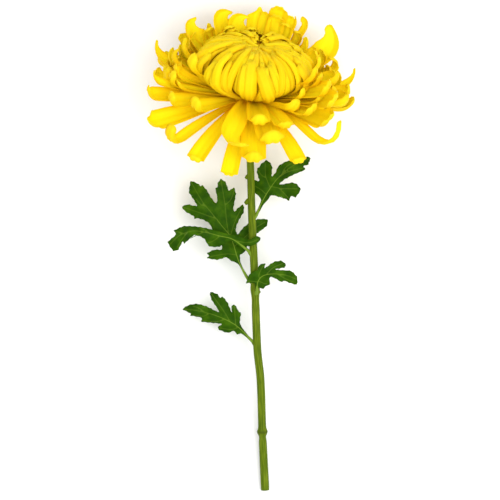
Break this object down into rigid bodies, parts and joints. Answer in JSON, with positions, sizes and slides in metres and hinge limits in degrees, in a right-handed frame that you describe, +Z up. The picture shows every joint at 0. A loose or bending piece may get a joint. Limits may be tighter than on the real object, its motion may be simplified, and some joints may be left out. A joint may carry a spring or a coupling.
{
  "type": "incurved chrysanthemum cut flower",
  "caption": "Cut chrysanthemum lying on its side: an incurved ball of strap florets with a skirt of curled ones, a green calyx, a slim stem and lobed leaves.",
  "frame": {"origin": "on the surface that the flower lies on, under the middle of its bounding box", "axes": "+Y runs along the stem from its cut end to the bloom, +Z is up from the surface, and +X is across"},
  "size_m": [0.1262, 0.2922, 0.1116],
  "materials": {
    "florets": "matte",
    "calyx": "matte",
    "stem": "satin",
    "leaf": "satin"
  },
  "bodies": {
    "root": {"bloom": "florets", "calyx": "calyx", "stem": "stem", "leaf_upper_right": "leaf", "leaf_upper_left": "leaf", "leaf_big_left": "leaf", "leaf_small_right": "leaf", "leaf_lower_left": "leaf"}
  },
  "joints": []
}
